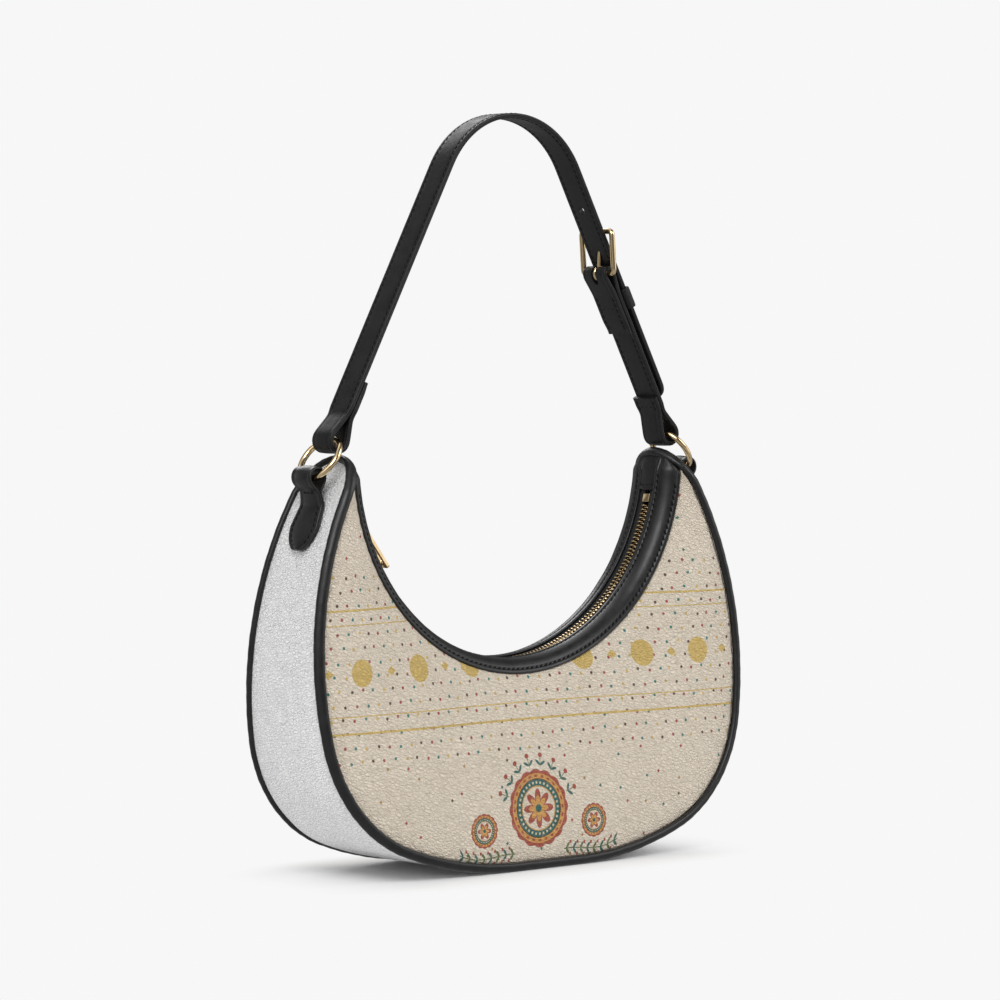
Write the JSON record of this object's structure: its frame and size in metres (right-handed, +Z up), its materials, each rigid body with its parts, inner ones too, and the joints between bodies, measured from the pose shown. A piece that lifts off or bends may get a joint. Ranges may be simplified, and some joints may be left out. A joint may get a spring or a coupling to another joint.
{
  "type": "half moon shoulder bag",
  "caption": "Half moon shoulder bag with a curved zip mouth, a piped gusset and a buckled strap on two rings.",
  "frame": {"origin": "middle of the bag's underside, on the surface that it stands on", "axes": "+X to the right along the width seen from the front, -Y out of the front panel, +Z up along the height to the top of the strap"},
  "size_m": [0.2802, 0.0748, 0.3738],
  "materials": {
    "shell_leather": "pebbled cream leather with a print",
    "gusset_leather": "pebbled off-white leather",
    "trim_leather": "semi-gloss black",
    "strap_leather": "semi-gloss black",
    "filler_cord": "matte",
    "lining_cloth": "plain weave",
    "board": "matte fibre board",
    "zip_tape": "herringbone weave",
    "gold_metal": "light gold plating"
  },
  "bodies": {
    "bag": {"front_panel": "shell_leather", "back_panel": "shell_leather", "gusset": "gusset_leather", "piping": "trim_leather", "piping_core": "filler_cord", "front_placket": "trim_leather", "back_placket": "trim_leather", "left_end_patch": "trim_leather", "right_end_patch": "trim_leather", "front_lining": "lining_cloth", "back_lining": "lining_cloth", "gusset_lining": "lining_cloth", "base_board": "board", "zip_tape_front": "zip_tape", "zip_tape_back": "zip_tape", "zip_teeth_front": "gold_metal", "zip_teeth_back": "gold_metal", "zip_bottom_stop": "gold_metal", "zip_top_stops": "gold_metal", "left_tab": "trim_leather", "right_tab": "trim_leather"},
    "slider": {"zip_slider": "gold_metal"},
    "puller": {"zip_puller": "gold_metal"},
    "handle": {"long_strap": "strap_leather", "long_strap_backing": "strap_leather", "short_strap": "strap_leather", "short_strap_backing": "strap_leather", "keeper_loop": "strap_leather"},
    "ring_left": {"left_ring": "gold_metal"},
    "ring_right": {"right_ring": "gold_metal"},
    "buckle": {"buckle_frame": "gold_metal"},
    "prong": {"buckle_prong": "gold_metal"}
  },
  "joints": [
    {"name": "zip_slide", "type": "hinge", "parent": "bag", "child": "slider", "pos_m": [0, 0, 0.20356], "axis": [0, -1, 0], "range_deg": [0, 145], "deforming": ["zip_tape_front", "zip_tape_back", "zip_teeth_front", "zip_teeth_back"]},
    {"name": "puller_flip", "type": "hinge", "parent": "slider", "child": "puller", "pos_m": [-0.09434, 0, 0.17562], "axis": [0, -1, 0], "range_deg": [-8, 145]},
    {"name": "handle_swing", "type": "hinge", "parent": "bag", "child": "handle", "pos_m": [0, 0, 0.19539], "axis": [1, 0, 0], "range_deg": [-22, 22], "deforming": ["left_tab", "right_tab"]},
    {"name": "left_ring_spin", "type": "hinge", "parent": "handle", "child": "ring_left", "pos_m": [-0.11604, 0, 0.20406], "axis": [-0.788, 0, 0.6157], "continuous": true},
    {"name": "right_ring_spin", "type": "hinge", "parent": "handle", "child": "ring_right", "pos_m": [0.11604, 0, 0.20406], "axis": [0.788, 0, 0.6157], "continuous": true},
    {"name": "buckle_tilt", "type": "hinge", "parent": "handle", "child": "buckle", "pos_m": [0.06561, 0, 0.29484], "axis": [0, 1, 0], "range_deg": [0, 2]},
    {"name": "prong_lift", "type": "hinge", "parent": "buckle", "child": "prong", "pos_m": [0.06561, 0, 0.29484], "axis": [0, 1, 0], "range_deg": [0, 2]}
  ]
}
